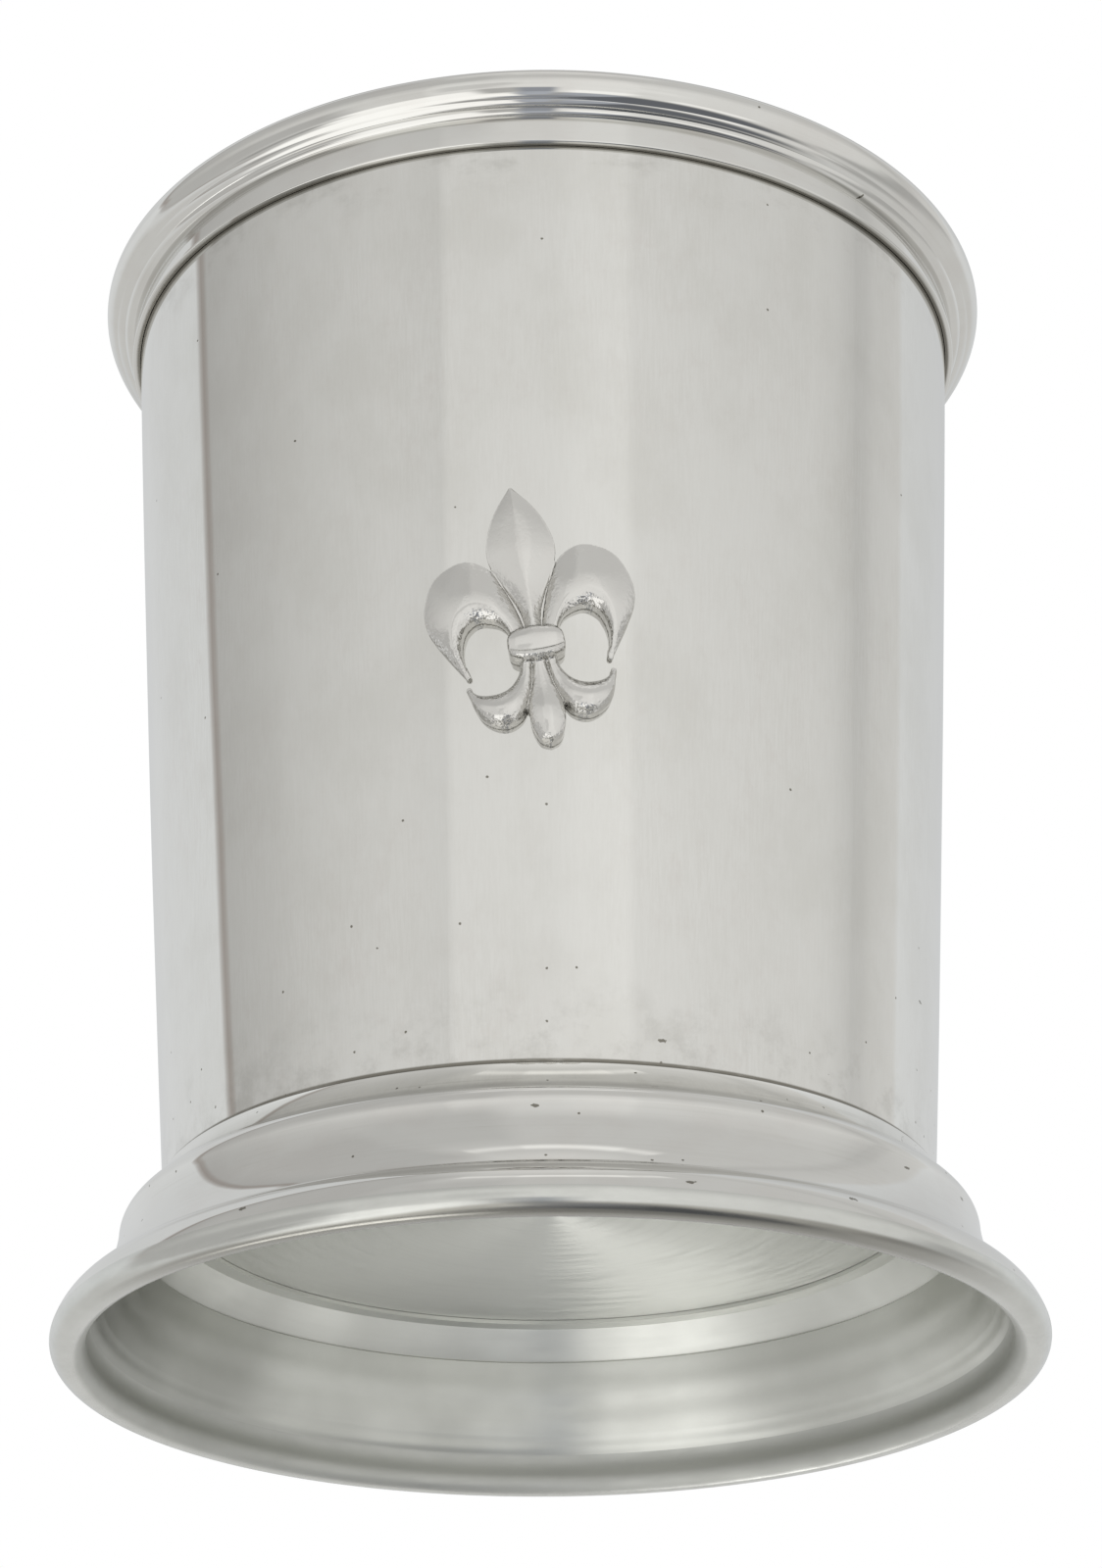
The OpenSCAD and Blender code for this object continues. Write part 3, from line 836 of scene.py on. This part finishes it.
def satin_metal():
    """Spun satin: rings of fine tool marks, crossed by sweeps of the mop, that spread light in fans. The
    left of the flare has painted shade.
    """
    metal = Metal("satin_pewter")
    marks = metal.rings(*SATIN_RINGS)
    clouds = metal.grain(*SATIN_CLOUDS)
    specks = metal.grain(*SATIN_SPECKS)
    sweeps = metal.sweeps(*SATIN_SWEEPS)
    # Painted shade on the left of the flare, in two steps
    left = metal.plus(
        metal.between(metal.x, FOOT_D * 0.06, -FOOT_D * 0.1, 0.0, 0.3),
        metal.between(metal.x, -FOOT_D * 0.3, -FOOT_D * 0.46, 0.0, 0.45),
    )
    on_flare = metal.between(metal.z, DISC_Z - FLARE_SHADE_FROM_H, DISC_Z - FLARE_SHADE_FULL_H)
    roll_inner_r = FOOT_D / 2 - FOOT_ROLL_D
    by_roll = metal.between(metal.radius, roll_inner_r - ROLL_BORDER_W, roll_inner_r)
    colour = metal.blend(clouds, SATIN_PEWTER, SATIN_SHADE)
    colour = metal.over(colour, specks, 0.3, SATIN_SHADE)
    colour = metal.blend(metal.between(sweeps, 0.45, 0.7, 0.0, 0.25), colour, SATIN_SHADE)
    colour = metal.over(colour, left, on_flare, SATIN_PAINTED_SHADE)
    colour = metal.over(colour, by_roll, 0.5, EDGE_SATIN)
    roughness = metal.between(clouds, 0.3, 0.7, *SATIN)
    turn = metal.between(sweeps, 0.25, 0.75, *SHEEN_TURNS)
    return metal.finish(colour, roughness, marks, SATIN_RELIEF, anisotropy=0.9, turn=turn)


def inner_metal():
    """The inside of the cup: an even, washed satin."""
    metal = Metal("inner_pewter")
    marks = metal.rings(*INNER_RINGS)
    clouds = metal.grain(*INNER_CLOUDS)
    colour = metal.blend(clouds, WASHED_PEWTER, WASHED_SHADE)
    roughness = metal.between(clouds, 0.3, 0.7, *WASHED)
    return metal.finish(colour, roughness, marks, INNER_RELIEF, anisotropy=0.3)


# The casting has painted shade in hollows this wide. Its skin is this much deeper on its flanks, which turn
# from the body's outward direction by more than the first of these cosines, and fully by the second.
CAST_HOLLOW_W = 1.2
CAST_FLANK_COSINES = (0.96, 0.7)
CAST_FLANK_DEPTH = 9.0


def cast_metal():
    """The casting: polished over a faintly uneven skin, with painted shade in its hollows, uneven on its
    flanks.
    """
    metal = Metal("cast_pewter")
    skin = metal.grain(*CAST_SKIN)
    clouds = metal.grain(*CAST_CLOUDS)
    dents = metal.between(metal.grain(*CAST_DENTS), 0.6, 0.7)
    openness = metal.add(
        "ShaderNodeAmbientOcclusion", {"Distance": CAST_HOLLOW_W * MM}, only_local=False, samples=8
    ).outputs["AO"]
    colour = metal.over(PEWTER, clouds, 0.5, WARM_PEWTER)
    # Painted shade in the casting's hollows, from ambient occlusion
    colour = metal.blend(metal.between(openness, 0.7, 0.25, 0.0, 0.2), colour, TARNISH_AND_SHADE)
    roughness = metal.between(clouds, 0.3, 0.7, *CAST_POLISH)

    outward = metal.add("ShaderNodeCombineXYZ", {0: metal.x, 1: metal.y}).outputs[0]
    outward = metal.add("ShaderNodeVectorMath", {0: outward}, operation="NORMALIZE").outputs[0]
    normal = metal.add("ShaderNodeTexCoord").outputs["Normal"]
    cosine = metal.add("ShaderNodeVectorMath", {0: outward, 1: normal}, operation="DOT_PRODUCT")
    flanks = metal.between(cosine.outputs["Value"], *CAST_FLANK_COSINES)
    rough_flanks = metal.times(flanks, metal.grain(*CAST_FLANKS))
    height = metal.calc("SUBTRACT", skin, metal.times(dents, 0.25))
    height = metal.plus(height, metal.times(rough_flanks, CAST_FLANK_DEPTH))
    return metal.finish(colour, roughness, height, CAST_RELIEF)


# Tints of the light
COOL = (0.985, 1.0, 1.01)
PLAIN = (1.0, 0.995, 0.98)
BROWN = (1.08, 1.0, 0.95)
NAVY = (0.95, 1.0, 1.12)

# The light tent: upright panels all round, given as (first azimuth, last azimuth, brightness at each,
# tint). Azimuth 0 is towards the front of the cup, and 90 towards +X. Between two panels the
# brightness runs from one to the other.
PANELS = [
    (-180, -165, 0.58, 0.7, COOL),
    (-150, -135, 0.83, 0.89, COOL),
    (-118, -110.2, 0.93, 0.94, COOL),
    (-109.4, -107.2, 0.44, 0.44, BROWN),
    (-106, -86, 0.62, 0.71, PLAIN),
    (-76, -58, 0.77, 0.84, PLAIN),
    (-43, -28, 0.89, 0.88, PLAIN),
    (-26, 2, 0.98, 1.01, PLAIN),
    (10, 22, 1.06, 1.08, PLAIN),
    (25, 39, 1.0, 0.97, PLAIN),
    (50, 80, 0.95, 0.91, PLAIN),
    (88, 95.5, 0.87, 0.78, PLAIN),
    (97, 101.5, 0.74, 0.76, PLAIN),
    (105, 118.5, 0.82, 0.86, PLAIN),
    (121, 150, 0.93, 0.78, COOL),
    (165, 180, 0.67, 0.58, COOL),
]
# The panels brighten downwards between these two elevations, by these factors
TENT_RISE = (36, 16, 0.93, 1.05)
# From the first azimuth to the second, the panels come to lean by this much azimuth for each degree
# of elevation over the level one, within these limits
TENT_LEAN = 0.39
LEAN_AZIMUTHS = (-60, -90)
LEAN_LEVEL = 25
LEAN_LIMITS = (-6, 9)

# Soft patches over the panels: (azimuth, elevation, half width, half height, softness, brightness,
# tint). First the roof of the tent, then the sides below the level line, then the table and the
# opening for the camera.
PATCHES = [
    (20, 60, 78, 20, 6, 0.79, PLAIN),
    (-34, 50, 20, 15, 6, 0.7, PLAIN),
    (-78, 60, 26, 22, 10, 0.65, PLAIN),
    (180, 60, 32, 20, 7, 0.58, PLAIN),
    (0, 90, 360, 10, 8, 0.95, PLAIN),
    (8, 72, 52, 1.6, 2, 1.1, PLAIN),
    (12, 72, 26, 1.2, 2.5, 1.3, PLAIN),
    (-76, -12, 28, 18, 6, 0.65, PLAIN),
    (-15, -2, 9, 13, 3, 0.85, PLAIN),
    (12, -11, 22, 6, 5, 1.1, PLAIN),
    (104, -22, 14, 26, 6, 0.58, PLAIN),
    (0, -76, 360, 20, 5, 0.5, PLAIN),
    (180, -30, 70, 26, 10, 0.8, PLAIN),
    (74, -77, 48, 17, 4, 0.19, NAVY),
    (18, -64, 11, 9, 4, 0.55, NAVY),
    (-68, -65.5, 59, 12, 4, 1.5, PLAIN),
    (-35, -44, 18, 14, 4, 1.44, PLAIN),
    (-55, -49, 12, 6, 4, 1.4, PLAIN),
    (-76, -40, 14, 4, 3, 0.5, PLAIN),
    (-10, -36, 6, 14, 3, 0.64, PLAIN),
    (-1, -38, 5, 14, 2, 0.44, NAVY),
    (-2, -60, 6, 10, 3, 0.62, NAVY),
    (0, -84, 30, 10, 5, 0.38, NAVY),
    (17, -47, 9, 8, 3, 1.38, PLAIN),
    (52, -49, 13, 5, 3, 1.3, PLAIN),
    (-159, -56, 9, 12, 4, 3.1, PLAIN),
]


def tinted(brightness, tint):
    return tuple(brightness * part for part in tint)


def tent_panels(world, azimuth):
    """The colour of the upright panels at an azimuth."""
    ramp = world.add("ShaderNodeValToRGB", {0: world.calc("DIVIDE", world.plus(azimuth, 180.0), 360.0)})
    stops = ramp.color_ramp.elements
    stops.remove(stops[0])
    edges = []
    for first, last, first_brightness, last_brightness, tint in PANELS:
        edges += [(first, first_brightness, tint), (last, last_brightness, tint)]
    for count, (angle, brightness, tint) in enumerate(edges):
        place = (angle + 180) / 360
        stop = stops.new(place) if count else stops[0]
        stop.position = place
        stop.color = (*tinted(brightness, tint), 1)
    return ramp.outputs[0]


def light_tent():
    """A world of soft light by direction, which a camera sees as white."""
    bpy.context.scene.world = bpy.data.worlds.new("light_tent")
    bpy.context.scene.world.use_nodes = True
    world = Nodes(bpy.context.scene.world.node_tree)
    way = world.add("ShaderNodeTexCoord").outputs["Generated"]
    x, y, z = world.add("ShaderNodeSeparateXYZ", {0: way}).outputs
    azimuth = world.calc("DEGREES", world.calc("ARCTAN2", x, world.times(y, -1.0)))
    elevation = world.calc("DEGREES", world.calc("ARCSINE", z))

    lean = world.between(azimuth, *LEAN_AZIMUTHS, 0.0, TENT_LEAN)
    shift = world.times(world.calc("SUBTRACT", elevation, LEAN_LEVEL), lean)
    shift = world.calc("MINIMUM", world.calc("MAXIMUM", shift, LEAN_LIMITS[0]), LEAN_LIMITS[1])
    panels = tent_panels(world, world.plus(azimuth, shift))
    rise = world.between(elevation, *TENT_RISE)
    colour = world.add("ShaderNodeVectorMath", {0: panels, "Scale": rise}, operation="SCALE").outputs[0]

    for patch_az, patch_el, half_width, half_height, softness, brightness, tint in PATCHES:
        aside = world.calc("WRAP", world.calc("SUBTRACT", azimuth, patch_az), -180.0, 180.0)
        above = world.calc("SUBTRACT", elevation, patch_el)
        across = world.near(aside, half_width, softness)
        up = world.near(above, half_height, softness)
        colour = world.blend(world.times(across, up), colour, tinted(brightness, tint))

    tent = world.add("ShaderNodeBackground", {"Color": colour, "Strength": 1.0})
    white = world.add("ShaderNodeBackground", {"Color": (1, 1, 1, 1), "Strength": 1.0})
    seen = world.add("ShaderNodeLightPath").outputs["Is Camera Ray"]
    choice = world.add("ShaderNodeMixShader", {0: seen, 1: tent.outputs[0], 2: white.outputs[0]})
    world.add("ShaderNodeOutputWorld", {0: choice.outputs[0]})


# The floor: it fades to white between these two radii, the second of which is its edge
FLOOR_FADE_R = 350
FLOOR_R = 2400
FLOOR_SIDES = 96
FLOOR_PAINT = (0.86, 0.86, 0.85, 1)
FLOOR_ROUGHNESS = 0.9


def make_floor():
    """A pale floor that fades to white far off. Seen from below, as in the photograph, it is clear."""
    model = bmesh.new()
    bmesh.ops.create_circle(model, cap_ends=True, segments=FLOOR_SIDES, radius=FLOOR_R * MM)
    floor = new_object("floor", model)
    material = bpy.data.materials.new("pale_floor")
    material.use_nodes = True
    nodes = Nodes(material.node_tree)
    place = nodes.add("ShaderNodeTexCoord").outputs["Object"]
    distance = nodes.add("ShaderNodeVectorMath", {0: place}, operation="LENGTH").outputs["Value"]
    far = nodes.between(distance, FLOOR_FADE_R * MM, FLOOR_R * MM)
    paint = nodes.add("ShaderNodeBsdfPrincipled", {"Base Color": FLOOR_PAINT, "Roughness": FLOOR_ROUGHNESS})
    white = nodes.add("ShaderNodeEmission", {"Color": (1, 1, 1, 1), "Strength": 1.0})
    faded = nodes.add("ShaderNodeMixShader", {0: far, 1: paint.outputs[0], 2: white.outputs[0]})
    clear = nodes.add("ShaderNodeBsdfTransparent")
    below = nodes.add("ShaderNodeNewGeometry").outputs["Backfacing"]
    mix = nodes.add("ShaderNodeMixShader", {0: below, 1: faded.outputs[0], 2: clear.outputs[0]})
    nodes.add("ShaderNodeOutputMaterial", {0: mix.outputs[0]})
    floor.data.materials.append(material)
    floor.visible_glossy = False
    floor.visible_diffuse = False
    floor.visible_shadow = False


# The photograph's camera, from the fit of its circles. Its near and far limits are in metres.
CAMERA_PLACE = (-0.126, -296.88, -88.04)
CAMERA_PITCH = 25.505
CAMERA_YAW = 0.106
CAMERA_ROLL = -0.49
CAMERA_LENS = 85.31
CAMERA_SENSOR = 36.0
CAMERA_LIMITS_M = (0.01, 10)


def make_camera():
    pitch, yaw, roll = [math.radians(angle) for angle in (CAMERA_PITCH, CAMERA_YAW, CAMERA_ROLL)]
    ahead = Vector((math.sin(yaw) * math.cos(pitch), math.cos(yaw) * math.cos(pitch), math.sin(pitch)))
    level = Vector((math.cos(yaw), -math.sin(yaw), 0))
    upright = level.cross(ahead)
    right = math.cos(roll) * level + math.sin(roll) * upright
    up = -math.sin(roll) * level + math.cos(roll) * upright
    data = bpy.data.cameras.new("camera")
    data.lens = CAMERA_LENS
    data.sensor_width = CAMERA_SENSOR
    data.clip_start, data.clip_end = CAMERA_LIMITS_M
    camera = bpy.data.objects.new("camera", data)
    turn = Matrix((right, up, -ahead)).transposed().to_4x4()
    camera.matrix_world = Matrix.Translation(Vector(CAMERA_PLACE) * MM) @ turn
    bpy.context.scene.collection.objects.link(camera)
    bpy.context.scene.camera = camera


make_camera()
light_tent()
make_floor()

polished, turned, rolled = body_metal(), turned_metal(), rolled_metal()
satin, inner, cast = satin_metal(), inner_metal(), cast_metal()
finish_piece(make_body(), "body", "polished_metal", polished, inner)
finish_piece(make_disc(), "bottom_disc", "satin_metal", satin, inner)
finish_piece(make_rim(), "rim_moulding", "polished_metal", turned)
finish_piece(make_foot(), "foot_ring", "polished_metal", turned, satin, rolled)
finish_piece(make_badge(), "fleur_de_lis_badge", "cast_metal", cast)

bpy.context.scene.view_settings.view_transform = "Standard"
